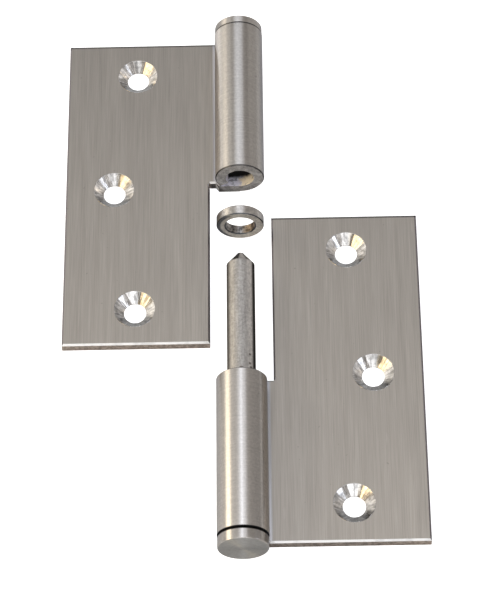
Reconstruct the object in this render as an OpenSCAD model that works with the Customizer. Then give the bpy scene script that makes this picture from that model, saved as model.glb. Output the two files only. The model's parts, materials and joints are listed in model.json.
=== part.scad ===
// Lift-off door hinge in satin stainless steel, taken apart and lying flat on its back.
// X runs across the leaves, Y along the pin towards its tip, and Z up out of the countersunk faces.
// Z = 0 is the plane that both leaves lie on, X = 0 the pin axis, Y = 0 halfway along the spread.

/* [Leaves] */
// Length of each leaf along the pin
leaf_l = 101.6; // [90:0.1:150]
// Width over both leaves when they lie open and flat
open_w = 100; // [88:0.5:160]
// Thickness of the sheet that a leaf and its knuckle are made from
sheet_t = 3; // [2.8:0.1:3.4]
// Bevel along the front edges of a leaf
edge_bevel = 0.5; // [0.1:0.05:0.8]

/* [Notch] */
// Distance from a leaf's knuckle end to the notch that clears the other knuckle
notch_l = 49; // [48:0.1:56]
// Sideways gap between a knuckle and the other leaf's free edge
notch_gap = 1.75; // [1:0.05:4]
// Diameter of the punched relief in the corner of the notch
relief_d = 1.2; // [0.6:0.1:1.8]
// How far the relief dips below the edge of the notch
relief_dip = 0.1; // [0.05:0.05:0.3]

/* [Knuckles] */
// Length of the frame leaf's knuckle, faced back to make room for the washer
frame_knuckle_l = 47.3; // [40:0.1:47.9]
// Length of the door leaf's knuckle
door_knuckle_l = 50.2; // [49:0.1:58]
// Gap left where the rolled lip comes down on the leaf's front
lip_seam = 0.15; // [0.05:0.05:0.4]
// Broken edge on the outside of a knuckle's ends
rim_break = 0.3; // [0.1:0.05:0.6]

/* [Pin] */
// Diameter of the pin
pin_d = 7.9; // [6:0.1:9]
// Running clearance all round the pin in its knuckles
pin_play = 0.05; // [0.03:0.01:0.1]
// How far the pin stands out of the frame knuckle, with its tip
pin_stand = 40; // [30:0.1:42]
// Length of the cone at the pin's tip
tip_cone_l = 3.5; // [1:0.1:5]
// Diameter at which the cone rounds over
tip_d = 2.2; // [1:0.1:5]
// Height of the rounded end of the tip
tip_round_h = 0.45; // [0.1:0.05:1.5]
// Gap between the pin's foot and the bottom cap's spigot
foot_gap = 0.2; // [0.1:0.1:1]

/* [Washer] */
// How far the washer's rim stands in from the outside of the knuckles
washer_inset = 0.3; // [0:0.05:1]
// Clearance all round the pin in the washer
washer_play = 0.3; // [0.1:0.05:0.6]
// Thickness of the washer
washer_t = 2.9; // [2:0.1:4]
// Broken edges of the washer
washer_break = 0.25; // [0.1:0.05:0.5]

/* [Caps] */
// How far a cap's rim stands in from the outside of its knuckle
cap_inset = 0.1; // [0:0.05:0.6]
// Height of the cap under the frame knuckle
bottom_cap_h = 3; // [2:0.1:5]
// Height of the cap on the door knuckle
top_cap_h = 2.3; // [1.5:0.1:5]
// Shadow gap between the frame knuckle and its cap
bottom_cap_gap = 0.45; // [0.1:0.05:0.8]
// Joint line between the door knuckle and its cap
top_cap_gap = 0.15; // [0.1:0.05:0.8]
// Rounding round the outer face of a cap
cap_round = 0.4; // [0.2:0.1:1.2]
// Length of a cap's spigot inside the knuckle
spigot_l = 6; // [4:0.5:7]
// Clearance all round a spigot
spigot_play = 0.04; // [0.02:0.01:0.1]

/* [Screw holes] */
// Diameter of a screw hole
hole_d = 6.4; // [6:0.1:6.8]
// Diameter of a countersink at the leaf's face
sink_d = 11.6; // [9:0.1:11.8]
// Distance from a leaf's ends to its two end holes
end_hole_y = 11.3; // [8:0.1:18]
// Distance from a leaf's outer edge to its two end holes
end_hole_x = 20.2; // [8:0.1:26]
// Distance from a leaf's outer edge to its middle hole
middle_hole_x = 13.8; // [8:0.1:26]

/* [Spread] */
// Gap between the pin's tip and the washer
tip_to_washer = 9.1; // [1:0.1:30]
// Gap between the washer and the door knuckle
washer_to_door = 13.1; // [1:0.1:30]

/* [Hidden] */
$fn = 96;

steel = [0.62, 0.60, 0.57];
dull_steel = [0.55, 0.53, 0.50];
over = 1;                                   // how far a cutting shape runs past what it cuts
arc_step = 15;                              // angle between the points of a turned rounding

bore_r = pin_d / 2 + pin_play;
knuckle_r = bore_r + sheet_t;               // also the height of the pin axis over the resting plane
free_x = knuckle_r + notch_gap;             // free edge of a leaf, beside the other knuckle
outer_x = open_w / 2;
lip_angle = asin((knuckle_r - sheet_t - lip_seam) / knuckle_r);
lip_x = (knuckle_r - sheet_t) / tan(lip_angle);     // where the seam opens on the leaf's face
tip_l = tip_cone_l + tip_round_h;
pin_foot = spigot_l + foot_gap;
pin_l = frame_knuckle_l + pin_stand - pin_foot;
washer_r = knuckle_r - washer_inset;
washer_hole_r = pin_d / 2 + washer_play;
cap_r = knuckle_r - cap_inset;
spigot_r = bore_r - spigot_play;
hole_places = [
    [outer_x - end_hole_x, end_hole_y],
    [outer_x - middle_hole_x, leaf_l / 2],
    [outer_x - end_hole_x, leaf_l - end_hole_y]
];

// Places along the pin, measured from the knuckle end of the frame leaf
washer_y = frame_knuckle_l + pin_stand + tip_to_washer;
door_open_y = washer_y + washer_t + washer_to_door;
door_end_y = door_open_y + door_knuckle_l;
spread_low = -bottom_cap_gap - bottom_cap_h;
spread_high = door_end_y + top_cap_gap + top_cap_h;
frame_y = -(spread_low + spread_high) / 2;  // puts Y = 0 halfway along the spread

// Extrudes a shape drawn in X and Z along the pin, from y0 over a length
module along_pin(y0, length)
    translate([0, y0 + length, 0]) rotate([90, 0, 0]) linear_extrude(length) children();

// Turns a shape about the pin axis; it is drawn as radius and distance along the pin
module about_pin(y0)
    translate([0, y0, knuckle_r]) rotate([-90, 0, 0]) rotate_extrude() children();

// The sheet rolled round the pin's bore: in tangent at the back, over the front, lip down on the face
module roll(length)
    along_pin(0, length) difference() {
        translate([0, knuckle_r]) circle(knuckle_r);
        translate([0, knuckle_r]) circle(bore_r);
        polygon([
            [0, knuckle_r],
            [0, sheet_t],
            [lip_x, sheet_t]
        ]);
    }

// Cuts the broken edge round one end of a roll and leaves the flat sheet beside it alone
module rim_cut(y, outward)
    difference() {
        translate([0, y, 0]) facing(outward) about_pin(0) polygon([
            [knuckle_r - rim_break, 0],
            [knuckle_r, -rim_break],
            [knuckle_r + over, -rim_break],
            [knuckle_r + over, over],
            [knuckle_r - rim_break, over]
        ]);
        translate([0, y - 2 * over, -over])
            cube([knuckle_r + 2 * over, 4 * over, sheet_t + lip_seam / 2 + over]);
    }

// Leaves a shape as drawn, or turns it to face the other way along the pin
module facing(outward)
    if (outward > 0) children(); else mirror([0, 1, 0]) children();

// The flat sheet, notched beside the other knuckle; by the notch its end runs over to the knuckle's end
module plate(knuckle_l)
    linear_extrude(sheet_t) polygon([
        [0, 0],
        [outer_x, 0],
        [outer_x, leaf_l],
        [free_x, leaf_l],
        [free_x, notch_l],
        [knuckle_r, notch_l],
        [lip_x, knuckle_l],
        [0, knuckle_l]
    ]);

// A bar that cuts a 45 degree bevel along a front edge, from a point over a length
module bevel(x, y, length, turn)
    translate([x, y, sheet_t]) rotate([0, 0, turn]) rotate([90, 0, 90])
        linear_extrude(length) polygon([
            [-edge_bevel, 0],
            [0, -edge_bevel],
            [edge_bevel, 0],
            [0, edge_bevel]
        ]);

// All the front edges of the flat sheet
module bevels() {
    bevel(knuckle_r, 0, outer_x - knuckle_r + over, 0);
    bevel(outer_x, -over, leaf_l + 2 * over, 90);
    bevel(free_x - over, leaf_l, outer_x - free_x + 2 * over, 0);
    bevel(free_x, notch_l, leaf_l - notch_l + over, 90);
    bevel(knuckle_r, notch_l, notch_gap, 0);
}

// A through hole with its countersink opening on the leaf's face
module screw_hole() {
    sink_depth = (sink_d - hole_d) / 2;
    translate([0, 0, -over]) cylinder(d = hole_d, h = sheet_t + 2 * over);
    translate([0, 0, sheet_t - sink_depth])
        cylinder(d1 = hole_d, d2 = sink_d + 2 * over, h = sink_depth + over);
}

// A whole leaf with its plate on the +X side and its knuckle end at Y = 0
module leaf(knuckle_l)
    difference() {
        union() {
            plate(knuckle_l);
            roll(knuckle_l);
        }
        bevels();
        rim_cut(0, -1);
        rim_cut(knuckle_l, 1);
        for (place = hole_places) translate(place) screw_hole();
        translate([free_x, notch_l + relief_d / 2 - relief_dip, -over])
            cylinder(d = relief_d, h = sheet_t + 2 * over);
    }

// A plain round cap with a spigot; its face points along +Y, its knuckle ends at Y = 0
module end_cap(height, gap) {
    face = gap + height;
    about_pin(0) polygon([
        [0, -spigot_l],
        [spigot_r - cap_round, -spigot_l],
        [spigot_r, cap_round - spigot_l],
        [spigot_r, gap],
        [cap_r, gap],
        for (a = [0 : arc_step : 90])
            [cap_r - cap_round + cap_round * cos(a), face - cap_round + cap_round * sin(a)],
        [0, face]
    ]);
}

// The frame leaf, lying to the right of the pin with its knuckle at the lower end
module frame_leaf() color(steel) translate([0, frame_y, 0]) leaf(frame_knuckle_l);

// The pin, a plain rod with a turned cone and a rounded end at its tip
module pin() color(dull_steel) about_pin(frame_y + pin_foot) polygon([
    [0, 0],
    [pin_d / 2 - rim_break, 0],
    [pin_d / 2, rim_break],
    [pin_d / 2, pin_l - tip_l],
    for (a = [0 : arc_step : 90 - arc_step])
        [tip_d / 2 * cos(a), pin_l - tip_round_h + tip_round_h * sin(a)],
    [0, pin_l]
]);

// The cap that closes the lower end of the frame knuckle
module bottom_cap() color(steel) translate([0, frame_y, 0]) mirror([0, 1, 0])
    end_cap(bottom_cap_h, bottom_cap_gap);

// The thick washer that the door knuckle bears on, shown between the two leaves
module washer() color(dull_steel) about_pin(frame_y + washer_y) polygon([
    [washer_hole_r + washer_break, 0],
    [washer_r - washer_break, 0],
    [washer_r, washer_break],
    [washer_r, washer_t - washer_break],
    [washer_r - washer_break, washer_t],
    [washer_hole_r + washer_break, washer_t],
    [washer_hole_r, washer_t - washer_break],
    [washer_hole_r, washer_break]
]);

// The door leaf, the same shape turned half round, lifted off along the pin
module door_leaf() color(steel) translate([0, frame_y + door_end_y, 0]) rotate([0, 0, 180])
    leaf(door_knuckle_l);

// The cap that closes the upper end of the door knuckle
module top_cap() color(steel) translate([0, frame_y + door_end_y, 0]) end_cap(top_cap_h, top_cap_gap);

frame_leaf();
pin();
bottom_cap();
washer();
door_leaf();
top_cap();
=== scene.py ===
# %% [markdown]
# A lift-off door hinge in brushed stainless steel, laid out with its door leaf and
# washer slid off the pin.
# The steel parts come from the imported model, at their real size and place, so this
# script only dresses them: it sets the camera, the light and the finish of each
# surface, and it adds the bright walls of the countersinks as meshes of their own.
# All positions are in metres, in the frame of the model: X runs across the leaves,
# Y along the pin towards its tip, and Z up from the plane that the hinge lies on.

import json
import math

import bpy
from mathutils import Matrix, Vector


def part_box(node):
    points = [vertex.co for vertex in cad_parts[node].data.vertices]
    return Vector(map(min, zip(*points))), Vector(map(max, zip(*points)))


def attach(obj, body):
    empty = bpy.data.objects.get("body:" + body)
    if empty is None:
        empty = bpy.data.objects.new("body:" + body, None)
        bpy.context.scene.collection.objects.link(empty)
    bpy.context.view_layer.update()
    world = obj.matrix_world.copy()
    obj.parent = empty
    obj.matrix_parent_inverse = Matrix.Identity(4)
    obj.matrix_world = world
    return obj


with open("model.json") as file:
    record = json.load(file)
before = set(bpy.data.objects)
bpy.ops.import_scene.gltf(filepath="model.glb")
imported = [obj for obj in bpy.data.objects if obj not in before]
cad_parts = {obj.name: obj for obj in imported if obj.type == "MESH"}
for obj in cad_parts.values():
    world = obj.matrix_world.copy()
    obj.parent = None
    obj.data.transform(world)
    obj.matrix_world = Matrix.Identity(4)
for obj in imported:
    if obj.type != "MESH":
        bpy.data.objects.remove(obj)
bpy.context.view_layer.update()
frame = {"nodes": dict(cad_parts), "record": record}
mm = 0.001

# %% [markdown]
# The photograph is taken with a long lens from about 60 degrees above the plane,
# from the side of the capped knuckle. The lens, place and tilt come from the corners
# of the leaves and the screw holes, whose real positions are known.

# %% Camera
camera_place = Vector((11.03, -365.81, 622.67)) * mm
camera_azimuth = math.radians(1.54)     # how far the view swings from straight along Y
camera_elevation = math.radians(59.87)  # how far the camera looks down
camera_roll = math.radians(2.39)
camera_lens = 153.69                    # on a 36 mm sensor


def view_axes(azimuth, elevation, roll):
    """Right, up and backward axes of a camera that looks along +Y and down."""
    forward = Vector((-math.sin(azimuth) * math.cos(elevation),
                      math.cos(azimuth) * math.cos(elevation),
                      -math.sin(elevation)))
    level_right = forward.cross(Vector((0, 0, 1))).normalized()
    right = Matrix.Rotation(roll, 3, forward) @ level_right
    return right, right.cross(forward), -forward


right, up, back = view_axes(camera_azimuth, camera_elevation, camera_roll)
camera = bpy.data.objects.new("camera", bpy.data.cameras.new("camera"))
bpy.context.scene.collection.objects.link(camera)
camera.matrix_world = Matrix.Translation(camera_place) @ Matrix((right, up, back)).transposed().to_4x4()
camera.data.sensor_width = 36
camera.data.lens = camera_lens
camera.data.clip_start = 0.01
bpy.context.scene.camera = camera
bpy.context.scene.view_settings.view_transform = "Standard"
print("camera right", [round(c, 4) for c in right], "up", [round(c, 4) for c in up])

# %% [markdown]
# Metal shows its surroundings, so the light is laid out by what each surface mirrors.
# A round knuckle mirrors a whole half circle of the room from left to right. On the
# real hinge it shows a warm band, a narrow cool band just left of its middle, and a
# brown-grey right half. A strip on the left, a narrow strip overhead and a darker
# room on the right give these bands. Wider and weaker panels behind the strips do the
# same for the door knuckle, and three in front light the bevels and the countersinks.
# Each panel is set by the whiteness that a mirror would show, where 1 is white.

# %% Lamps
def add_panel(name, place, aim, length, width, colour, whiteness):
    """An area lamp at a place in metres, facing a point, its length as near to Y as that allows."""
    lamp = bpy.data.lights.new(name, "AREA")
    lamp.shape = "RECTANGLE"
    lamp.size = width
    lamp.size_y = length
    lamp.color = colour
    lamp.energy = whiteness * math.pi * length * width
    panel = bpy.data.objects.new(name, lamp)
    panel.visible_camera = False
    bpy.context.scene.collection.objects.link(panel)
    backward = (Vector(place) - Vector(aim)).normalized()
    across = Vector((0, 1, 0)).cross(backward).normalized()
    along = backward.cross(across)
    panel.matrix_world = Matrix.Translation(place) @ Matrix((across, along, backward)).transposed().to_4x4()


pin_height = 7 * mm                     # the pin axis over the resting plane
hinge_middle = (0, 0.03, pin_height)
warm_white = (1.0, 0.88, 0.66)
amber_white = (1.0, 0.72, 0.36)
cool_white = (0.77, 0.85, 1.0)
pale_blue = (0.84, 0.90, 1.0)
back_blue = (0.80, 0.88, 1.0)
front_blue = (0.90, 0.94, 1.0)
plain_white = (1.0, 0.99, 0.96)

add_panel("warm_strip", (-0.67, -0.26, 0.34), (0, -0.26, pin_height), 1.22, 0.29, warm_white, 3.6)
add_panel("warm_low_panel", (-0.70, 0.64, 0.20), (0, 0.64, pin_height), 0.58, 0.36, plain_white, 0.80)
add_panel("left_back_panel", (-0.60, 0.74, 0.50), (0, 0.74, pin_height), 0.56, 0.34, plain_white, 0.50)
add_panel("cool_strip", (-0.036, -0.14, 0.80), (-0.036, -0.14, pin_height), 1.12, 0.095, cool_white, 2.15)
add_panel("top_panel", (0.02, -0.14, 0.85), (0.02, -0.14, pin_height), 1.12, 0.46, pale_blue, 1.05)
add_panel("back_panel", (0, 0.68, 0.80), (0, 0.68, pin_height), 0.50, 0.60, back_blue, 1.0)
add_panel("right_back_panel", (0.62, 0.70, 0.25), (0, 0.70, pin_height), 0.50, 0.50, plain_white, 0.42)
add_panel("left_panel", (-0.56, -0.05, 0.85), (-0.30, -0.05, pin_height), 1.1, 0.70, plain_white, 0.30)
add_panel("front_panel", (0.05, -0.95, 0.45), hinge_middle, 0.40, 1.0, front_blue, 1.5)
add_panel("front_right_panel", (0.70, -0.35, 0.32), hinge_middle, 0.24, 0.24, cool_white, 3.0)
add_panel("front_left_panel", (-0.66, -0.62, 0.34), hinge_middle, 0.18, 0.18, amber_white, 2.2)

# %% [markdown]
# The room and every finish are trees of nodes. A few small functions make the nodes that
# the trees use most, so that each tree below can be read line by line.

# %% Tools for nodes
def new_node(tree, kind, **values):
    """A node with its settings and the defaults of its inputs, by name."""
    node = tree.nodes.new(kind)
    for key, value in values.items():
        if key in node.inputs:
            node.inputs[key].default_value = value
        else:
            setattr(node, key, value)
    return node


def math_node(tree, operation, a, b=None, clamp=False):
    """One Math node. Each operand is a number or a socket."""
    node = new_node(tree, "ShaderNodeMath", operation=operation, use_clamp=clamp)
    for socket, operand in zip(node.inputs, (a, b)):
        if operand is None:
            continue
        if isinstance(operand, (int, float)):
            socket.default_value = operand
        else:
            tree.links.new(operand, socket)
    return node.outputs[0]


def product(tree, first, *others):
    """The product of several sockets or numbers."""
    result = first
    for operand in others:
        result = math_node(tree, "MULTIPLY", result, operand)
    return result


def ramp_node(tree, source, low, high, to_low=0.0, to_high=1.0, smooth=True):
    """A Map Range node from low..high to to_low..to_high."""
    node = new_node(tree, "ShaderNodeMapRange")
    node.interpolation_type = "SMOOTHSTEP" if smooth else "LINEAR"
    tree.links.new(source, node.inputs["Value"])
    for name, value in (("From Min", low), ("From Max", high), ("To Min", to_low), ("To Max", to_high)):
        node.inputs[name].default_value = value
    return node.outputs["Result"]


def mix_colour(tree, factor, a, b, blend="MIX"):
    """A Mix node for colours. Each side is a colour or a socket."""
    node = new_node(tree, "ShaderNodeMix", data_type="RGBA", blend_type=blend)
    for socket, operand in ((node.inputs[0], factor), (node.inputs[6], a), (node.inputs[7], b)):
        if isinstance(operand, (int, float)):
            socket.default_value = operand
        elif isinstance(operand, tuple):
            socket.default_value = (*operand, 1)
        else:
            tree.links.new(operand, socket)
    return node.outputs[2]              # 6, 7 and this one are the node's colour sockets


def mirror_ray(tree, path):
    """1 for a ray that metal or glass sends on, and 0 for any other."""
    return math_node(tree, "MAXIMUM", path.outputs["Is Glossy Ray"], path.outputs["Is Transmission Ray"])


# %% [markdown]
# The room that the metal mirrors is a soft grey, lighter on the left and overhead than on
# the right, and dark low behind the hinge. The camera sees plain white in its place, and
# metal shows a small part of that white as well.

# %% World
room_left = (0.60, 0.59, 0.565)
room_middle = (0.50, 0.475, 0.45)
room_right = (0.215, 0.196, 0.182)
room_back = 0.80                        # brightness behind the hinge, against 1 overhead
room_far = 0.25                         # brightness of the dark far wall, low behind it
mirrored_white = 0.2                    # how much of the white backdrop the metal shows
left_to_middle = (0.0, 0.30)            # spans of a direction's X, over which the colour changes
middle_to_right = (0.30, 0.80)
overhead_to_back = (0.38, 0.66)         # spans of its Y, over which the brightness changes
back_to_far = (0.74, 0.92)

world = bpy.data.worlds.new("studio")
bpy.context.scene.world = world
world.use_nodes = True
tree = world.node_tree
tree.nodes.clear()
direction = new_node(tree, "ShaderNodeTexCoord").outputs["Generated"]
parts = new_node(tree, "ShaderNodeSeparateXYZ")
tree.links.new(direction, parts.inputs[0])
to_middle = ramp_node(tree, parts.outputs["X"], *left_to_middle)
to_right = ramp_node(tree, parts.outputs["X"], *middle_to_right)
backwards = ramp_node(tree, parts.outputs["Y"], *overhead_to_back, 1.0, room_back)
far_wall = ramp_node(tree, parts.outputs["Y"], *back_to_far, 1.0, room_far)
strength = product(tree, backwards, far_wall)
room = mix_colour(tree, to_middle, room_left, room_middle)
room = mix_colour(tree, to_right, room, room_right)
room_light = new_node(tree, "ShaderNodeBackground")
tree.links.new(room, room_light.inputs["Color"])
tree.links.new(strength, room_light.inputs["Strength"])
white = new_node(tree, "ShaderNodeBackground", Color=(1, 1, 1, 1), Strength=1.0)
path = new_node(tree, "ShaderNodeLightPath")
pick = new_node(tree, "ShaderNodeMixShader")
seen_white = math_node(tree, "MAXIMUM", path.outputs["Is Camera Ray"],
                       product(tree, mirror_ray(tree, path), mirrored_white))
tree.links.new(seen_white, pick.inputs[0])
tree.links.new(room_light.outputs[0], pick.inputs[1])
tree.links.new(white.outputs[0], pick.inputs[2])
world_out = new_node(tree, "ShaderNodeOutputWorld")
tree.links.new(pick.outputs[0], world_out.inputs[0])
print("world", world.name, len(tree.nodes), "nodes")

# %% [markdown]
# The floor is a sheet of pale paper. It is lit like any surface, so it keeps the soft
# shadow of the hinge. Light of its own lifts it to white for the camera, and lifts it
# a little in what the metal mirrors.

# %% Floor
floor_side = 6.0
floor_drop = 0.1 * mm                   # just under the leaves, so that no faces coincide
paper_white = (0.72, 0.72, 0.72, 1)
camera_lift = 0.9                       # light of its own that the camera sees
mirrored_lift = 0.10                    # and that the metal mirrors

floor_mesh = bpy.data.meshes.new("floor")
half = floor_side / 2
floor_mesh.from_pydata([(-half, -half, -floor_drop), (half, -half, -floor_drop),
                        (half, half, -floor_drop), (-half, half, -floor_drop)], [], [(0, 1, 2, 3)])
floor = bpy.data.objects.new("floor", floor_mesh)
bpy.context.scene.collection.objects.link(floor)

floor_paint = bpy.data.materials.new("floor_paint")
floor_paint.use_nodes = True
tree = floor_paint.node_tree
tree.nodes.clear()
path = new_node(tree, "ShaderNodeLightPath")
lift = math_node(tree, "ADD", product(tree, path.outputs["Is Camera Ray"], camera_lift),
                 product(tree, mirror_ray(tree, path), mirrored_lift))
paper = new_node(tree, "ShaderNodeBsdfDiffuse", Color=paper_white)
glow = new_node(tree, "ShaderNodeEmission", Color=(1, 1, 1, 1))
tree.links.new(lift, glow.inputs["Strength"])
both = new_node(tree, "ShaderNodeAddShader")
tree.links.new(paper.outputs[0], both.inputs[0])
tree.links.new(glow.outputs[0], both.inputs[1])
paint_out = new_node(tree, "ShaderNodeOutputMaterial")
tree.links.new(both.outputs[0], paint_out.inputs[0])
floor_mesh.materials.append(floor_paint)
print("floor", floor_side, "m square")

# %% [markdown]
# Several finishes share the same effects, so each effect is a node group that is built
# once. The first gives fine lines, as a belt or a lathe tool leaves them: noise that is
# stretched along the lines, in two sizes.

# %% Fine lines
def new_group(name, inputs, outputs):
    """An empty shader group, its given sockets and its results. Inputs are numbers or vectors."""
    group = bpy.data.node_groups.new(name, "ShaderNodeTree")
    for title, default in inputs:
        kind = "NodeSocketFloat" if isinstance(default, float) else "NodeSocketVector"
        socket = group.interface.new_socket(title, in_out="INPUT", socket_type=kind)
        socket.default_value = default
    for title in outputs:
        group.interface.new_socket(title, in_out="OUTPUT", socket_type="NodeSocketFloat")
    return group, group.nodes.new("NodeGroupInput").outputs, group.nodes.new("NodeGroupOutput").inputs


origin = (0, 0, 0)


def noise_node(tree, vector, scale, detail=2.0, roughness=0.5):
    """Grey noise from 0 to 1 on a vector socket."""
    node = new_node(tree, "ShaderNodeTexNoise", Scale=scale, Detail=detail, Roughness=roughness)
    tree.links.new(vector, node.inputs["Vector"])
    return node.outputs["Fac"]


def vector_node(tree, operation, a, b=None):
    """The result of one Vector Math node. Each operand is a tuple or a socket."""
    node = new_node(tree, "ShaderNodeVectorMath", operation=operation)
    second = node.inputs["Scale"] if operation == "SCALE" else node.inputs[1]
    for socket, operand in ((node.inputs[0], a), (second, b)):
        if isinstance(operand, tuple):
            socket.default_value = operand
        elif operand is not None:
            tree.links.new(operand, socket)
    return node.outputs["Value" if operation in ("LENGTH", "DISTANCE", "DOT_PRODUCT") else "Vector"]


def scale_vector(tree, vector, factors):
    """A vector socket times a tuple of factors or another vector socket."""
    return vector_node(tree, "MULTIPLY", vector, factors)


def make_fine_lines():
    """Fine lines, and broader bands of them, stretched along the direction with the fewest lines."""
    group, given, result = new_group(
        "Fine lines",
        [("Position", origin), ("Lines per metre", (4000, 60, 4000))],
        ["Lines", "Bands"])
    stretched = scale_vector(group, given["Position"], given["Lines per metre"])
    lines = noise_node(group, stretched, 1.0, detail=3.0, roughness=0.7)
    broad = scale_vector(group, stretched, (0.12, 0.5, 0.12))
    bands = noise_node(group, broad, 1.0, detail=2.0)
    group.links.new(lines, result["Lines"])
    group.links.new(bands, result["Bands"])
    return group


fine_lines = make_fine_lines()
print("group", fine_lines.name)

# %% [markdown]
# The second group tells the surfaces of the hinge apart, by their distance from the pin
# axis and the way they face: the round skin of a knuckle, cap or washer, the bore inside
# it, the end faces, the faces that stand upright, and the edges that lean to the front,
# back towards the pin's tip, or sideways.

# %% Tools for places
def split_vector(tree, vector):
    """The X, Y and Z sockets of a vector."""
    node = new_node(tree, "ShaderNodeSeparateXYZ")
    tree.links.new(vector, node.inputs[0])
    return node.outputs["X"], node.outputs["Y"], node.outputs["Z"]


def axis_radius(tree, position):
    """A point's offset from the pin axis and its distance from it."""
    flat = scale_vector(tree, position, (1, 0, 1))
    lowered = vector_node(tree, "SUBTRACT", flat, (0, 0, pin_height))
    return lowered, vector_node(tree, "LENGTH", lowered)


def vector_along(tree, source, axis):
    """A vector with a socket's value along one axis."""
    node = new_node(tree, "ShaderNodeCombineXYZ")
    tree.links.new(source, node.inputs[axis])
    return node.outputs[0]


def absolute(tree, source):
    """A socket's value without its sign."""
    return math_node(tree, "ABSOLUTE", source)


# %% Zones
knuckle_radius = 7 * mm
bore_radius = 4 * mm
radius_play = 0.06 * mm                 # how far off a radius a point may lie and still be on it
end_facing = 0.9                        # share of an end face's normal along the pin, at least
leaning = 0.3                           # and of an edge that leans to the front or the back
upright_facing = 0.4                    # share of an upright face's normal along Z, at most
side_facing = 0.5                       # share of a side edge's normal along X, at least


def make_zones():
    """Masks of 0 or 1 for each kind of surface, and the distance from the pin axis."""
    group, given, result = new_group(
        "Zones",
        [("Position", origin), ("Normal", origin),
         ("Skin radius", knuckle_radius), ("Bore radius", bore_radius)],
        ["Skin", "Bore", "Upright", "End face", "Front edge", "Back edge", "Side edge", "Radius"])
    facing_x, facing_y, facing_z = split_vector(group, given["Normal"])
    radius = axis_radius(group, given["Position"])[1]
    off_skin = absolute(group, math_node(group, "SUBTRACT", radius, given["Skin radius"]))
    end_face = math_node(group, "GREATER_THAN", absolute(group, facing_y), end_facing)
    not_end = math_node(group, "SUBTRACT", 1.0, end_face)
    skin = product(group, math_node(group, "LESS_THAN", off_skin, radius_play), not_end)
    bore_edge = math_node(group, "ADD", given["Bore radius"], radius_play)
    level = math_node(group, "LESS_THAN", absolute(group, facing_y), leaning)
    bore = product(group, math_node(group, "LESS_THAN", radius, bore_edge), level)
    round_part = math_node(group, "MAXIMUM", skin, bore)
    flat_part = math_node(group, "SUBTRACT", 1.0, round_part)
    standing = math_node(group, "LESS_THAN", absolute(group, facing_z), upright_facing)
    upright = product(group, standing, flat_part)
    back_edge = math_node(group, "GREATER_THAN", facing_y, leaning)
    leaning_front = math_node(group, "LESS_THAN", facing_y, -leaning)
    open_part = math_node(group, "SUBTRACT", not_end, bore, clamp=True)
    front_edge = product(group, leaning_front, open_part)
    sideways = math_node(group, "GREATER_THAN", absolute(group, facing_x), side_facing)
    side_edge = product(group, sideways, flat_part)
    for name, socket in (("Skin", skin), ("Bore", bore), ("Upright", upright), ("End face", end_face),
                         ("Front edge", front_edge), ("Back edge", back_edge), ("Side edge", side_edge),
                         ("Radius", radius)):
        group.links.new(socket, result[name])
    return group


zones = make_zones()
print("group", zones.name, [s.name for s in zones.interface.items_tree if s.in_out == "OUTPUT"])

# %% [markdown]
# The third group gives marks of handling: sparse dark specks and short light scratches.
# The fourth paints shade in the joint between a knuckle and its cap.

# %% Marks and joint shade
def make_marks():
    """Masks of sparse specks and of short scratches along the pin."""
    group, given, result = new_group(
        "Handling marks",
        [("Position", origin), ("Specks per metre", 700.0)],
        ["Specks", "Scratches"])
    tight = vector_node(group, "SCALE", given["Position"], given["Specks per metre"])
    specks = ramp_node(group, noise_node(group, tight, 1.0, detail=1.0), 0.74, 0.82)
    slanted = scale_vector(group, given["Position"], (1600, 90, 1600))
    scratches = ramp_node(group, noise_node(group, slanted, 1.0, detail=0.0), 0.76, 0.84)
    group.links.new(specks, result["Specks"])
    group.links.new(scratches, result["Scratches"])
    return group


def make_joint_shade():
    """A tone that is 1 away from a joint and darkens within reach of it along the pin: painted shade."""
    group, given, result = new_group(
        "Joint shade",
        [("Position", origin), ("Joint", 0.0), ("Reach", 0.4 * mm), ("Darkness", 0.8)],
        ["Clean"])
    along = split_vector(group, given["Position"])[1]
    away = absolute(group, math_node(group, "SUBTRACT", along, given["Joint"]))
    share = math_node(group, "DIVIDE", away, given["Reach"])
    near = math_node(group, "SUBTRACT", 1.0, share, clamp=True)
    soft = ramp_node(group, near, 0.0, 0.6)
    # painted shade in and beside the joint
    painted_shade = product(group, soft, given["Darkness"])
    group.links.new(math_node(group, "SUBTRACT", 1.0, painted_shade), result["Clean"])
    return group


marks = make_marks()
joint_shade = make_joint_shade()
bottom_spread = 0.22 * mm               # how far the middle of the painted shade lies from the joint, on the bottom cap
top_spread = 0.07 * mm                  # and on the top cap
bottom_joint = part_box("frame_leaf")[0][1] - bottom_spread
top_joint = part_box("door_leaf")[1][1] + top_spread
print("joint shade at", round(bottom_joint, 5), round(top_joint, 5))

# %% [markdown]
# A brushed surface spreads what it mirrors across its lines and keeps it sharp along
# them. The leaves are brushed along the pin, so they mirror an even blur of the whole
# room. The knuckles, caps and washer are ground round the axis, so they keep the sharp
# bands of the panels. One material has both: its tangent, along which highlights
# stretch, runs across the leaf on the flat sheet and along the pin on round skin.

# %% Tools for steel
def place_group(tree, group, **links):
    """A group node with sockets or numbers for its inputs, named with spaces as underscores."""
    node = new_node(tree, "ShaderNodeGroup")
    node.node_tree = group
    for key, value in links.items():
        socket = node.inputs[key.replace("_", " ")]
        if isinstance(value, (int, float, tuple)):
            socket.default_value = value
        else:
            tree.links.new(value, socket)
    return node


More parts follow.
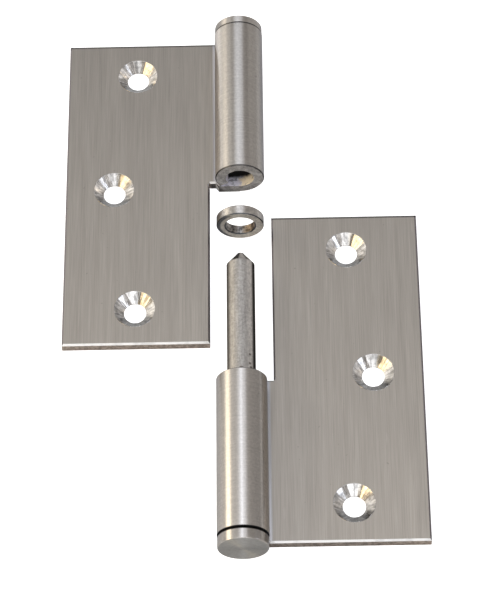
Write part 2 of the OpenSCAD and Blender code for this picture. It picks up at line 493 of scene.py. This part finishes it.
def new_steel(name, roughness, anisotropy, edge_tint):
    """A metal material: itself, its tree, its shader, and the sockets of the place and the normal."""
    material = bpy.data.materials.new(name)
    material.use_nodes = True
    tree = material.node_tree
    tree.nodes.clear()
    shader = new_node(tree, "ShaderNodeBsdfPrincipled", Metallic=1.0, Roughness=roughness,
                      Anisotropic=anisotropy)
    shader.inputs["Specular Tint"].default_value = (*edge_tint, 1)
    out = new_node(tree, "ShaderNodeOutputMaterial")
    tree.links.new(shader.outputs[0], out.inputs["Surface"])
    coordinates = new_node(tree, "ShaderNodeTexCoord")
    return material, tree, shader, coordinates.outputs["Object"], coordinates.outputs["Normal"]


def add_bump(tree, shader, height, distance):
    """Relief of a real depth in metres on the shader's normal."""
    bump = new_node(tree, "ShaderNodeBump", Distance=distance, Strength=1.0)
    tree.links.new(height, bump.inputs["Height"])
    tree.links.new(bump.outputs["Normal"], shader.inputs["Normal"])


def mix_vector(tree, factor, a, b):
    """A Mix node for vectors. Each side is a tuple or a socket."""
    node = new_node(tree, "ShaderNodeMix", data_type="VECTOR")
    tree.links.new(factor, node.inputs[0])
    for socket, operand in ((node.inputs[4], a), (node.inputs[5], b)):
        if isinstance(operand, tuple):
            socket.default_value = operand
        else:
            tree.links.new(operand, socket)
    return node.outputs[1]              # 4, 5 and this one are the node's vector sockets


along_pin = (0.0, 1.0, 0.0)
nearly_along_pin = (0.001, 1.0, 0.002)  # a little off, so that no face has its normal along it


def stretch_across(tree):
    """A tangent in the surface, square to the pin."""
    facing = new_node(tree, "ShaderNodeNewGeometry").outputs["Normal"]
    return vector_node(tree, "CROSS_PRODUCT", facing, nearly_along_pin)


def turned_tangent(tree, position, normal):
    """Along the pin on round skin, and out from the axis on a turned end face."""
    from_axis = axis_radius(tree, position)[0]
    outwards = new_node(tree, "ShaderNodeVectorTransform", convert_from="OBJECT", convert_to="WORLD")
    tree.links.new(from_axis, outwards.inputs[0])
    endwise = absolute(tree, split_vector(tree, normal)[1])
    on_end = math_node(tree, "GREATER_THAN", endwise, end_facing)
    return mix_vector(tree, on_end, along_pin, outwards.outputs[0])


def tint(tree, colour, tone):
    """A colour, or a colour socket, times a grey socket."""
    return mix_colour(tree, 1.0, colour, tone, blend="MULTIPLY")


def vary(tree, noise, low, high):
    """A tone from low to high, over the range that noise mostly keeps to."""
    return ramp_node(tree, noise, 0.3, 0.7, low, high, smooth=False)


print("steel tools ready")

# %% [markdown]
# Each leaf is one sheet with several surfaces. Its flat face is brushed along the pin,
# and its rolled knuckle is ground round it. The sheared edges are rough, with painted
# shade near the roll, a light brown further out, and grey in a ring round the knuckle's
# mouth. Bevels on the near side carry a painted highlight, and edges that lean towards
# the pin's tip carry painted shade, with a line of painted shade before them. The bore
# is bare at its mouth, with a painted warm reflection on the right, and painted shade
# further in. A strip of the sheet by the roll and the knuckle's flanks carry painted light.

# %% Colours and places on the leaves
sheet_grey = (0.310, 0.280, 0.247)
skin_grey = (0.440, 0.410, 0.382)
# painted shade on the sheared edges by the roll and round a knuckle's end
painted_edge_shade = (0.10, 0.095, 0.092)
edge_light = (0.38, 0.32, 0.275)
ring_grey = (0.43, 0.41, 0.395)
bore_cool = (0.72, 0.71, 0.81)
# a painted reflection of the warm light in the bore
painted_warm_reflection = (1.0, 0.86, 0.66)
# painted shade deep in the bore
painted_bore_shade = (0.02, 0.019, 0.018)
# a painted reflection in a strip of the sheet by the roll
painted_root_reflection = (0.38, 0.375, 0.39)
edge_side = (0.23, 0.21, 0.215)
# a painted highlight on the near bevels
painted_bevel_highlight = (0.68, 0.67, 0.66)
plain_tone = (1, 1, 1)
steel_edge_tint = (0.62, 0.64, 0.68)    # what ground steel shows at a glancing angle

door_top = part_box("door_leaf")[1][1]
frame_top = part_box("frame_leaf")[1][1]
front_bevel = 0.5 * mm
door_knuckle_length = 50.2 * mm
open_end = door_top - door_knuckle_length           # the open end of the door knuckle, along the pin

# Spans of the distance from the pin axis, over which one look gives way to the next
mouth_ring = (7.2 * mm, 8.2 * mm)
# the strip by the roll that holds the painted reflection
root_reflection_strip = (8.2 * mm, 9.0 * mm)
plate_start = (7.9 * mm, 8.3 * mm)
skin_end = (7.1 * mm, 7.3 * mm)
skin_limit = 7.06 * mm                  # the brushed sheet begins where the round skin ends
under_skin = 6.8 * mm                   # round steel nearer to the axis than this is bore
print("open end at", round(open_end, 5), "top edges at", round(door_top, 5), round(frame_top, 5))


# %% Sheared edges and bores
def sheared_colour(tree, position, radius):
    """Grey round a knuckle's mouth, painted shade by the roll, and a light brown further out."""
    x, _, z = split_vector(tree, position)
    far = ramp_node(tree, radius, 10 * mm, 46 * mm, smooth=False)
    side = ramp_node(tree, x, -6 * mm, 5 * mm, 0.22, 0.72)
    door_plate = ramp_node(tree, x, -8.6 * mm, -7.8 * mm, 0.95, 0.0)
    light_part = math_node(tree, "MAXIMUM", far, math_node(tree, "MAXIMUM", side, door_plate))
    mottle = noise_node(tree, position, 900.0, detail=3.0, roughness=0.7)
    # painted shade by the roll, giving way to a light brown further out
    colour = mix_colour(tree, light_part, painted_edge_shade, edge_light)
    ring = tint(tree, ring_grey, ramp_node(tree, z, 1 * mm, 5 * mm, 0.62, 1.0))
    colour = mix_colour(tree, ramp_node(tree, radius, *mouth_ring, 1.0, 0.0), colour, ring)
    return tint(tree, colour, ramp_node(tree, mottle, 0.35, 0.65, 0.72, 1.28))


def bore_colour(tree, position):
    """Bright, with a painted warm reflection on one side at the mouth, and painted shade from a few
    millimetres in.
    """
    x, y = split_vector(tree, position)[:2]
    depth = absolute(tree, math_node(tree, "SUBTRACT", y, open_end))
    blots = noise_node(tree, position, 800.0, detail=2.0)
    wander = product(tree, math_node(tree, "SUBTRACT", blots, 0.5), 6 * mm)
    # painted warm reflection on the right of the mouth
    warm_reflection_side = ramp_node(tree, math_node(tree, "ADD", x, wander), -0.5 * mm, 1.5 * mm)
    colour = mix_colour(tree, warm_reflection_side, bore_cool, painted_warm_reflection)
    colour = tint(tree, colour, ramp_node(tree, blots, 0.3, 0.5, 0.35, 1.0))
    deeper = math_node(tree, "ADD", depth, product(tree, wander, 0.3))
    # painted shade from a few millimetres in
    return mix_colour(tree, ramp_node(tree, deeper, 2.2 * mm, 3.6 * mm), colour, painted_bore_shade)


# %% Flanks and top edges
def own_flank_light(tree, position, normal):
    """Painted light where a knuckle's skin turns down to its own leaf."""
    on_door = ramp_node(tree, split_vector(tree, position)[1], -10 * mm, 10 * mm)
    facing_x = split_vector(tree, normal)[0]
    # painted light on the flank that turns towards its own leaf
    frame_side = ramp_node(tree, facing_x, 0.79, 0.87, 1.0, 1.75)
    door_side = ramp_node(tree, facing_x, -0.84, -0.62, 2.2, 1.0)
    return mix_colour(tree, on_door, frame_side, door_side)


def top_edge_shade(tree, position):
    """A line of painted shade just before the bevel along the top edge of each plate."""
    x, y = split_vector(tree, position)[:2]
    bevel_starts = ramp_node(tree, x, -1 * mm, 1 * mm, door_top - front_bevel, frame_top - front_bevel)
    before = math_node(tree, "SUBTRACT", bevel_starts, y)
    return ramp_node(tree, before, 0.15 * mm, 0.5 * mm, 0.3, 1.0)


# %% Grain, plain colour and bevels
def leaf_grain(tree, position, skin, lines, bands):
    """The tone of the brushing, with specks and scratches, a little darker towards the pin's tip."""
    mark = place_group(tree, marks, Position=position)
    along = ramp_node(tree, split_vector(tree, position)[1], -80 * mm, 80 * mm, 1.11, 0.878, smooth=False)
    mottle = noise_node(tree, position, 1500.0, detail=2.0, roughness=0.6)
    skin_grain = product(tree, vary(tree, lines, 0.95, 1.05), vary(tree, mottle, 0.90, 1.10))
    sheet_grain = vary(tree, lines, 0.88, 1.12)
    return product(tree, mix_colour(tree, skin, sheet_grain, skin_grain),
                   vary(tree, bands, 0.95, 1.05), along,
                   ramp_node(tree, mark.outputs["Specks"], 0, 1, 1.0, 0.8),
                   ramp_node(tree, mark.outputs["Scratches"], 0, 1, 1.0, 1.07))


def sheet_and_skin(tree, position, normal, skin, radius):
    """The plain colour of the sheet, with a painted reflection as a lighter strip by the roll, and of the
    round skin, with painted light on its flanks.
    """
    # painted reflection: a lighter strip by the roll, lighter still towards the leaf's ends
    near_root_reflection = ramp_node(tree, radius, *root_reflection_strip, 1.0, 0.0)
    outer_end = absolute(tree, split_vector(tree, position)[1])
    root_reflection = tint(tree, painted_root_reflection, ramp_node(tree, outer_end, 50 * mm, 80 * mm, 1.0, 1.45))
    plain = mix_colour(tree, near_root_reflection, sheet_grey, root_reflection)
    return mix_colour(tree, skin, plain, tint(tree, skin_grey, own_flank_light(tree, position, normal)))


def bevel_colour(tree, position, radius):
    """A painted highlight, uneven, on top of what a plate's near bevels mirror, and painted shade round a
    knuckle's end.
    """
    uneven = ramp_node(tree, noise_node(tree, position, 260.0), 0.35, 0.55, 0.80, 1.0)
    on_plate = ramp_node(tree, radius, *plate_start)
    return tint(tree, mix_colour(tree, on_plate, painted_edge_shade, painted_bevel_highlight), uneven)


# %% Leaf steel
def make_leaf_steel():
    """Brushed sheet and ground knuckle in one material, with its edges, bevels and bore."""
    material, tree, shader, position, normal = new_steel("leaf_steel", 0.36, 0.65, steel_edge_tint)
    zone = place_group(tree, zones, Position=position, Normal=normal, Bore_radius=under_skin)
    sheet = place_group(tree, fine_lines, Position=position, Lines_per_metre=(3600, 50, 3600))
    ground = place_group(tree, fine_lines, Position=position, Lines_per_metre=(90, 4200, 90))
    bottom = place_group(tree, joint_shade, Position=position, Joint=bottom_joint, Reach=0.7 * mm,
                         Darkness=0.93)
    top = place_group(tree, joint_shade, Position=position, Joint=top_joint, Reach=0.55 * mm,
                      Darkness=0.88)
    skin = zone.outputs["Skin"]
    radius = zone.outputs["Radius"]
    lines = mix_colour(tree, skin, sheet.outputs["Lines"], ground.outputs["Lines"])
    bands = mix_colour(tree, skin, sheet.outputs["Bands"], ground.outputs["Bands"])
    joint_unshaded = product(tree, bottom.outputs["Clean"], top.outputs["Clean"])
    # the plain colour holds a painted reflection by the roll and painted light on the knuckle's flanks
    colour = tint(tree, sheet_and_skin(tree, position, normal, skin, radius),
                  leaf_grain(tree, position, skin, lines, bands))
    colour = mix_colour(tree, zone.outputs["Bore"], colour, bore_colour(tree, position))
    colour = mix_colour(tree, zone.outputs["Upright"], colour, sheared_colour(tree, position, radius))
    colour = mix_colour(tree, zone.outputs["Side edge"], colour, edge_side)
    # painted shade on the edges that lean towards the pin's tip
    colour = tint(tree, colour, ramp_node(tree, zone.outputs["Back edge"], 0, 1, 1.0, 0.14))
    # painted highlight on the near bevels, and painted shade round a knuckle's end
    colour = mix_colour(tree, zone.outputs["Front edge"], colour, bevel_colour(tree, position, radius))
    off_knuckle = ramp_node(tree, radius, *skin_end)
    # painted shade as a line before the top bevel, on the plates only
    colour = tint(tree, colour, mix_colour(tree, off_knuckle, plain_tone, top_edge_shade(tree, position)))
    # painted shade beside the joints with the caps, on the knuckle only
    colour = tint(tree, colour, math_node(tree, "MAXIMUM", joint_unshaded, off_knuckle))
    tree.links.new(colour, shader.inputs["Base Color"])
    rough = ramp_node(tree, skin, 0, 1, 0.44, 0.30, smooth=False)
    rough = math_node(tree, "MAXIMUM", rough, product(tree, zone.outputs["Upright"], 0.55))
    tree.links.new(rough, shader.inputs["Roughness"])
    dull_bore = product(tree, zone.outputs["Bore"], 0.7)
    dull = math_node(tree, "MAXIMUM", dull_bore, zone.outputs["Back edge"])
    tree.links.new(math_node(tree, "SUBTRACT", 1.0, dull), shader.inputs["Metallic"])
    on_skin = math_node(tree, "LESS_THAN", axis_radius(tree, position)[1], skin_limit)
    tangent = mix_vector(tree, on_skin, stretch_across(tree), along_pin)
    tree.links.new(tangent, shader.inputs["Tangent"])
    add_bump(tree, shader, lines, 0.002 * mm)
    return material


leaf_steel = make_leaf_steel()
print("made", leaf_steel.name, len(leaf_steel.node_tree.nodes), "nodes")

# %% [markdown]
# The caps are turned from bar. Their rims are ground with the knuckles, and their faces
# keep the fine rings of the lathe tool, which draw a light into a streak.

# %% Cap steel
face_grey = (0.345, 0.335, 0.320)
cap_radius = 6.9 * mm


def make_cap_steel():
    """Ground round the rim like the knuckles, with turned rings on the face."""
    material, tree, shader, position, normal = new_steel("cap_steel", 0.31, 0.85, steel_edge_tint)
    zone = place_group(tree, zones, Position=position, Normal=normal, Skin_radius=cap_radius)
    ground = place_group(tree, fine_lines, Position=position, Lines_per_metre=(90, 4200, 90))
    rings = vector_along(tree, zone.outputs["Radius"], "X")
    turned = place_group(tree, fine_lines, Position=rings, Lines_per_metre=(5200, 0, 0))
    # painted shade beside the joint between the cap and the knuckle
    bottom = place_group(tree, joint_shade, Position=position, Joint=bottom_joint, Reach=0.6 * mm,
                         Darkness=0.93)
    face = zone.outputs["End face"]
    lines = mix_colour(tree, face, ground.outputs["Lines"], turned.outputs["Lines"])
    mottle = noise_node(tree, position, 1200.0, detail=3.0, roughness=0.6)
    tone = product(tree, vary(tree, lines, 0.94, 1.06), bottom.outputs["Clean"],
                   vary(tree, mottle, 0.90, 1.10))
    colour = tint(tree, mix_colour(tree, face, skin_grey, face_grey), tone)
    tree.links.new(colour, shader.inputs["Base Color"])
    rough = ramp_node(tree, face, 0, 1, 0.31, 0.50, smooth=False)
    tree.links.new(rough, shader.inputs["Roughness"])
    tree.links.new(turned_tangent(tree, position, normal), shader.inputs["Tangent"])
    add_bump(tree, shader, lines, 0.002 * mm)
    return material


cap_steel = make_cap_steel()
print("made", cap_steel.name)

# %% [markdown]
# The pin is drawn bar, duller than the ground parts. It has fine streaks along its
# length, a grey mottle, painted shade on its flanks, painted light on its right side,
# and a few spots of dirt by the knuckle. Its turned cone is light, with painted shade on its sides.

# %% Pin steel
pin_grey = (0.385, 0.363, 0.342)
cone_grey = (0.70, 0.67, 0.64)
pin_soil = (0.09, 0.07, 0.055)
pin_edge_tint = (0.34, 0.32, 0.30)
pin_radius_mm = 3.95
pin_spots = [(2.4, -27.6, 0.5), (2.4, -30.4, 0.5), (2.7, -31.6, 0.65),
             (0.1, -32.2, 0.9), (-1.0, -32.6, 0.7)]     # X, Y and radius in millimetres


def spot_mask(tree, position, x, y, size):
    """A soft round spot on top of the pin at a place in millimetres."""
    height = math.sqrt(pin_radius_mm ** 2 - x ** 2)
    away = vector_node(tree, "DISTANCE", position, (x * mm, y * mm, pin_height + height * mm))
    return ramp_node(tree, away, 0.4 * size * mm, size * mm, 1.0, 0.0)


def make_pin_steel():
    """Dull drawn steel, whose cone is what leans towards the tip."""
    material, tree, shader, position, normal = new_steel("pin_steel", 0.56, 0.0, pin_edge_tint)
    mottle = noise_node(tree, position, 1400.0, detail=4.0, roughness=0.7)
    stretched = scale_vector(tree, position, (1500, 160, 1500))
    streaks = noise_node(tree, stretched, 1.0, detail=3.0, roughness=0.6)
    facing_x, facing_y = split_vector(tree, normal)[:2]
    # painted shade on both flanks of the pin
    right_flank_shade = ramp_node(tree, facing_x, 0.74, 0.88, 1.0, 0.10)
    left_flank_shade = ramp_node(tree, facing_x, -0.90, -0.74, 0.42, 1.0)
    on_cone = math_node(tree, "GREATER_THAN", facing_y, leaning)
    # painted shade on the left and right sides of the cone
    cone_left_shade = ramp_node(tree, facing_x, -0.16, -0.04, 0.16, 1.0)
    cone_right_shade = ramp_node(tree, facing_x, 0.26, 0.38, 1.0, 0.4)
    grain = product(tree, vary(tree, mottle, 0.78, 1.22), vary(tree, streaks, 0.84, 1.16))
    # painted light on the right side of the pin
    right_side_light = ramp_node(tree, facing_x, 0.25, 0.70, 1.0, 1.75)
    body = tint(tree, pin_grey, product(tree, grain, right_flank_shade, left_flank_shade, right_side_light))
    cone = tint(tree, cone_grey, product(tree, grain, cone_left_shade, cone_right_shade))
    colour = mix_colour(tree, on_cone, body, cone)
    for x, y, size in pin_spots:
        spot = product(tree, spot_mask(tree, position, x, y, size), 0.75)
        colour = mix_colour(tree, spot, colour, pin_soil)
    tree.links.new(colour, shader.inputs["Base Color"])
    add_bump(tree, shader, mottle, 0.008 * mm)
    return material


pin_steel = make_pin_steel()
print("made", pin_steel.name, "with", len(pin_spots), "spots")

# %% [markdown]
# The washer is turned too, but left rough. Its faces are a blotched grey with a bluish
# stain on the left rim, its outer corners have a dark bluish line, and its hole is grey
# with a brown stain on the right.

# %% Washer steel
washer_face = (0.47, 0.435, 0.39)
corner_blue = (0.085, 0.088, 0.095)
hole_brown = (0.24, 0.178, 0.122)
hole_grey = (0.215, 0.200, 0.188)
washer_radius = 6.7 * mm
washer_hole_radius = 4.25 * mm
rim_stain = (5.3 * mm, 5.9 * mm)        # the span of the radius where the rim's stain begins


def make_washer_steel():
    """Rough turned steel with stained corners, rim and hole."""
    material, tree, shader, position, normal = new_steel("washer_steel", 0.30, 0.6, steel_edge_tint)
    zone = place_group(tree, zones, Position=position, Normal=normal, Skin_radius=washer_radius,
                       Bore_radius=washer_hole_radius)
    mottle = noise_node(tree, position, 1100.0, detail=4.0, roughness=0.7)
    plain = mix_colour(tree, zone.outputs["End face"], skin_grey, washer_face)
    endwise = absolute(tree, split_vector(tree, normal)[1])
    corner = product(tree, math_node(tree, "GREATER_THAN", endwise, leaning),
                       math_node(tree, "LESS_THAN", endwise, end_facing))
    plain = mix_colour(tree, corner, plain, corner_blue)
    patches = noise_node(tree, position, 620.0, detail=3.0, roughness=0.6)
    blots = ramp_node(tree, patches, 0.38, 0.6, 0.35, 1.6)
    brown_side = ramp_node(tree, split_vector(tree, position)[0], -0.5 * mm, 2.2 * mm)
    hole = tint(tree, mix_colour(tree, brown_side, hole_grey, hole_brown), blots)
    plain = mix_colour(tree, zone.outputs["Bore"], plain, hole)
    rim = ramp_node(tree, zone.outputs["Radius"], *rim_stain)
    left_side = ramp_node(tree, split_vector(tree, position)[0], -4.5 * mm, -1.0 * mm, 0.92, 0.0)
    stained = product(tree, rim, left_side, zone.outputs["End face"])
    plain = mix_colour(tree, stained, plain, corner_blue)
    colour = tint(tree, plain, vary(tree, mottle, 0.66, 1.34))
    tree.links.new(colour, shader.inputs["Base Color"])
    rough = ramp_node(tree, zone.outputs["End face"], 0, 1, 0.28, 0.5, smooth=False)
    tree.links.new(rough, shader.inputs["Roughness"])
    tree.links.new(turned_tangent(tree, position, normal), shader.inputs["Tangent"])
    add_bump(tree, shader, mottle, 0.01 * mm)
    return material


washer_steel = make_washer_steel()
print("made", washer_steel.name)

# %% [markdown]
# The record names the finish that each node takes, in its material slot. The mesh of a
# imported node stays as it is, and only its first material is replaced.

# %% Finishes on the steel parts
finishes = {"leaf_steel": leaf_steel, "cap_steel": cap_steel,
            "pin_steel": pin_steel, "washer_steel": washer_steel}
for row in frame["record"]["subparts"]:
    node = frame["nodes"][row["node"]]
    finish = finishes[row["material_slot"]]
    if node.material_slots:
        node.material_slots[0].material = finish
    else:
        node.data.materials.append(finish)
    print(row["node"], "gets", finish.name)

# %% [markdown]
# The countersinks were cut after the sheet was brushed, so their walls are bright, with
# the chatter of the tool: narrow flutes that each mirror another part of the room. Six
# holes need six such walls, so one Geometry Nodes tree makes them. It rolls a cone, moves
# its points in and out by noise round the circle, gives it a wall that reaches into the
# steel, and sets a copy, turned at random, at each screw hole.

# %% Pieces of the countersink tree
sheet_top = 3 * mm
sink_radius = 5.8 * mm
wall_proud = 0.07 * mm                  # how far the bright wall stands in front of the plain one
wall_thickness = 0.12 * mm
steps_round = 176
steps_down = 6
flute_wander = (0, 0, 90)               # how quickly the flutes change down the wall
sharp_angle = 0.6                       # in radians, past which an edge stays sharp
merge_distance = 0.001 * mm
mounts = {mount["name"]: mount for mount in frame["record"]["mounts"]}
hole_radius = mounts["frame_end_holes"]["dims"]["hole_r_mm"] * mm


def geometry_node(tree, kind, links=(), **values):
    """A Geometry Nodes node with its inputs linked, by (socket, input name) pairs, or set by value."""
    node = new_node(tree, kind, **values)
    for socket, name in links:
        tree.links.new(socket, node.inputs[name])
    return node


def fluted_cone(tree, given, depth):
    """An open cone whose points are moved in and out by noise round the circle."""
    inset = product(tree, given["Proud"], math.sqrt(2))
    low_radius = math_node(tree, "SUBTRACT", given["Hole radius"], inset)
    high_radius = math_node(tree, "SUBTRACT", given["Sink radius"], inset)
    cone = geometry_node(tree, "GeometryNodeMeshCone", [
        (high_radius, "Radius Top"), (low_radius, "Radius Bottom"), (depth, "Depth")],
        fill_type="NONE", Vertices=steps_round)
    cone.inputs["Side Segments"].default_value = steps_down

    place = new_node(tree, "GeometryNodeInputPosition").outputs[0]
    outward = vector_node(tree, "NORMALIZE", scale_vector(tree, place, (1, 1, 0)))
    turns = math_node(tree, "DIVIDE", given["Flutes"], math.tau)
    chatter = new_node(tree, "ShaderNodeTexNoise", Detail=1.0)
    rising = vector_node(tree, "ADD", outward, scale_vector(tree, place, flute_wander))
    tree.links.new(rising, chatter.inputs["Vector"])
    tree.links.new(turns, chatter.inputs["Scale"])
    swing = math_node(tree, "SUBTRACT", chatter.outputs["Fac"], 0.5)
    push = product(tree, swing, given["Flute depth"])
    offset = vector_node(tree, "SCALE", outward, push)
    fluted = geometry_node(tree, "GeometryNodeSetPosition", [
        (cone.outputs["Mesh"], "Geometry"), (offset, "Offset")])
    return fluted.outputs[0]


def closed_wall(tree, given, fluted):
    """The fluted cone with a buried back of its own, smooth except at its rims."""
    buried = geometry_node(tree, "GeometryNodeExtrudeMesh", [
        (fluted, "Mesh"), (given["Thickness"], "Offset Scale")], mode="FACES", Individual=False)
    seen = geometry_node(tree, "GeometryNodeFlipFaces", [(fluted, "Mesh")])
    joined = new_node(tree, "GeometryNodeJoinGeometry")
    tree.links.new(seen.outputs[0], joined.inputs[0])
    tree.links.new(buried.outputs[0], joined.inputs[0])
    closed = geometry_node(tree, "GeometryNodeMergeByDistance", [(joined.outputs[0], "Geometry")],
                           Distance=merge_distance)
    smooth = geometry_node(tree, "GeometryNodeSetShadeSmooth", [(closed.outputs[0], "Geometry")])
    angle = new_node(tree, "GeometryNodeInputMeshEdgeAngle").outputs[0]
    gentle = math_node(tree, "LESS_THAN", angle, sharp_angle)
    shaded = geometry_node(tree, "GeometryNodeSetShadeSmooth", [
        (smooth.outputs[0], "Geometry"), (gentle, "Shade Smooth")], domain="EDGE")
    return shaded.outputs[0]


def wall_at_each_place(tree, given, wall, depth):
    """A real copy of the wall at each place, turned at random, with its top level with the sheet's."""
    lift = vector_along(tree, math_node(tree, "SUBTRACT", given["Top"], depth), "Z")
    raised = geometry_node(tree, "GeometryNodeTransform", [(wall, "Geometry"), (lift, "Translation")])
    turn = new_node(tree, "FunctionNodeRandomValue", data_type="FLOAT")
    turn.inputs[2].default_value = 0.0  # 2, 3 and the output 1 are the node's sockets for a float
    turn.inputs[3].default_value = math.tau
    tree.links.new(given["Seed"], turn.inputs["Seed"])
    spin = vector_along(tree, turn.outputs[1], "Z")
    copies = geometry_node(tree, "GeometryNodeInstanceOnPoints", [
        (given["Places"], "Points"), (raised.outputs[0], "Instance"), (spin, "Rotation")])
    real = geometry_node(tree, "GeometryNodeRealizeInstances", [(copies.outputs[0], "Geometry")])
    return real.outputs[0]


# %% The countersink tree
def make_sink_tree():
    """The tree of a leaf's countersink walls, with its sizes, its seed and its finish as inputs."""
    tree = bpy.data.node_groups.new("Countersink walls", "GeometryNodeTree")
    tree.interface.new_socket("Places", in_out="INPUT", socket_type="NodeSocketGeometry")
    for name, value in (("Hole radius", hole_radius), ("Sink radius", sink_radius), ("Top", sheet_top),
                        ("Proud", wall_proud), ("Thickness", wall_thickness), ("Flutes", 40.0),
                        ("Flute depth", 0.13 * mm)):
        tree.interface.new_socket(name, in_out="INPUT", socket_type="NodeSocketFloat").default_value = value
    tree.interface.new_socket("Seed", in_out="INPUT", socket_type="NodeSocketInt").default_value = 3
    tree.interface.new_socket("Finish", in_out="INPUT", socket_type="NodeSocketMaterial")
    tree.interface.new_socket("Walls", in_out="OUTPUT", socket_type="NodeSocketGeometry")
    given = tree.nodes.new("NodeGroupInput").outputs
    result = tree.nodes.new("NodeGroupOutput")

    depth = math_node(tree, "SUBTRACT", given["Sink radius"], given["Hole radius"])
    wall = closed_wall(tree, given, fluted_cone(tree, given, depth))
    copies = wall_at_each_place(tree, given, wall, depth)
    finished = geometry_node(tree, "GeometryNodeSetMaterial", [
        (copies, "Geometry"), (given["Finish"], "Material")])
    tree.links.new(finished.outputs[0], result.inputs[0])
    return tree


sink_tree = make_sink_tree()
print("tree", sink_tree.name, len(sink_tree.nodes), "nodes")

# %% [markdown]
# A fresh cut mirrors the lamps sharply. On top of what it mirrors, the wall has stripes
# that run down into the hole, painted shade on its near side and a painted warm
# reflection on the far right. Its right and left sides mirror less, and painted light
# makes them paler.

# %% Bright steel for the countersinks
sink_grey = (0.52, 0.50, 0.48)
# a painted reflection of the warm light on the far right wall
sink_warm_reflection = (0.40, 0.345, 0.27)
towards_near_left = (-0.65, -0.76, 0)   # the way that the stretch of wall with the painted warm reflection faces
right_wall = (-0.64, -0.46)             # spans of the normal's X where the right and left walls begin
left_wall = (0.15, 0.55)


def make_bright_steel():
    """Freshly cut steel, nearly a mirror, with stripes, painted shade and light by side, and a painted warm
    reflection.
    """
    material, tree, shader, position, normal = new_steel("bright_steel", 0.16, 0.0, plain_tone)
    stain = noise_node(tree, position, 900.0, detail=3.0)
    facing_x, facing_y = split_vector(tree, normal)[:2]
    # painted shade on the near side, and painted light on the left and right walls
    near_side_shade = ramp_node(tree, facing_y, 0.05, 0.5, 1.0, 0.34)
    left_wall_light = ramp_node(tree, facing_x, -0.1, 0.5, 1.0, 1.75)
    round_the_hole = vector_node(tree, "ADD", scale_vector(tree, normal, (11, 11, 0)),
                                 scale_vector(tree, position, (240, 240, 0)))
    stripes = noise_node(tree, round_the_hole, 1.0, detail=1.0)
    tone = product(tree, vary(tree, stain, 0.66, 1.20), near_side_shade, left_wall_light,
                   ramp_node(tree, facing_x, *right_wall, 1.7, 1.0),
                   ramp_node(tree, stripes, 0.38, 0.62, 0.60, 1.12))
    # painted warm reflection on the wall that faces the near left
    warm_reflection_wall = ramp_node(tree, vector_node(tree, "DOT_PRODUCT", normal, towards_near_left), 0.60, 0.68)
    colour = tint(tree, mix_colour(tree, warm_reflection_wall, sink_grey, sink_warm_reflection), tone)
    tree.links.new(colour, shader.inputs["Base Color"])
    mirror_part = product(tree, ramp_node(tree, facing_x, *left_wall, 1.0, 0.5),
                          ramp_node(tree, facing_x, *right_wall, 0.5, 1.0))
    tree.links.new(mirror_part, shader.inputs["Metallic"])
    return material


bright_steel = make_bright_steel()
print("made", bright_steel.name)

# %% [markdown]
# The record gives the centres of the screw holes, and a mesh of three points there is
# all that the tree needs. Its result becomes one plain mesh for each leaf, which rides
# on that leaf's body.

# %% Six bright countersinks
def screw_places(side):
    """Centres of a leaf's three screw holes on the resting plane."""
    ends = mounts[side + "_end_holes"]
    half_spacing = ends["dims"]["spacing_y_mm"] / 2 * mm
    x, y = ends["pos_m"][:2]
    middle_x, middle_y = mounts[side + "_middle_hole"]["pos_m"][:2]
    return [(x, y - half_spacing, 0), (middle_x, middle_y, 0), (x, y + half_spacing, 0)]


def add_sink_walls(side, seed):
    """The bright walls of one leaf's countersinks, as one plain mesh that rides on its body."""
    start = bpy.data.meshes.new(side + "_sink_places")
    start.from_pydata(screw_places(side), [], [])
    maker = bpy.data.objects.new(side + "_sink_maker", start)
    bpy.context.scene.collection.objects.link(maker)
    modifier = maker.modifiers.new("walls", "NODES")
    modifier.node_group = sink_tree
    sockets = {s.name: s.identifier for s in sink_tree.interface.items_tree if s.in_out == "INPUT"}
    modifier[sockets["Seed"]] = seed
    modifier[sockets["Finish"]] = bright_steel
    made = bpy.data.meshes.new_from_object(maker.evaluated_get(bpy.context.evaluated_depsgraph_get()))
    bpy.data.objects.remove(maker)
    made.materials.clear()              # the tree leaves an empty first slot
    made.materials.append(bright_steel)
    walls = bpy.data.objects.new(side + "_sink_walls", made)
    bpy.context.scene.collection.objects.link(walls)
    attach(walls, side)
    print(walls.name, len(made.polygons), "faces", [m.name for m in made.materials])


add_sink_walls("frame", seed=3)
add_sink_walls("door", seed=8)
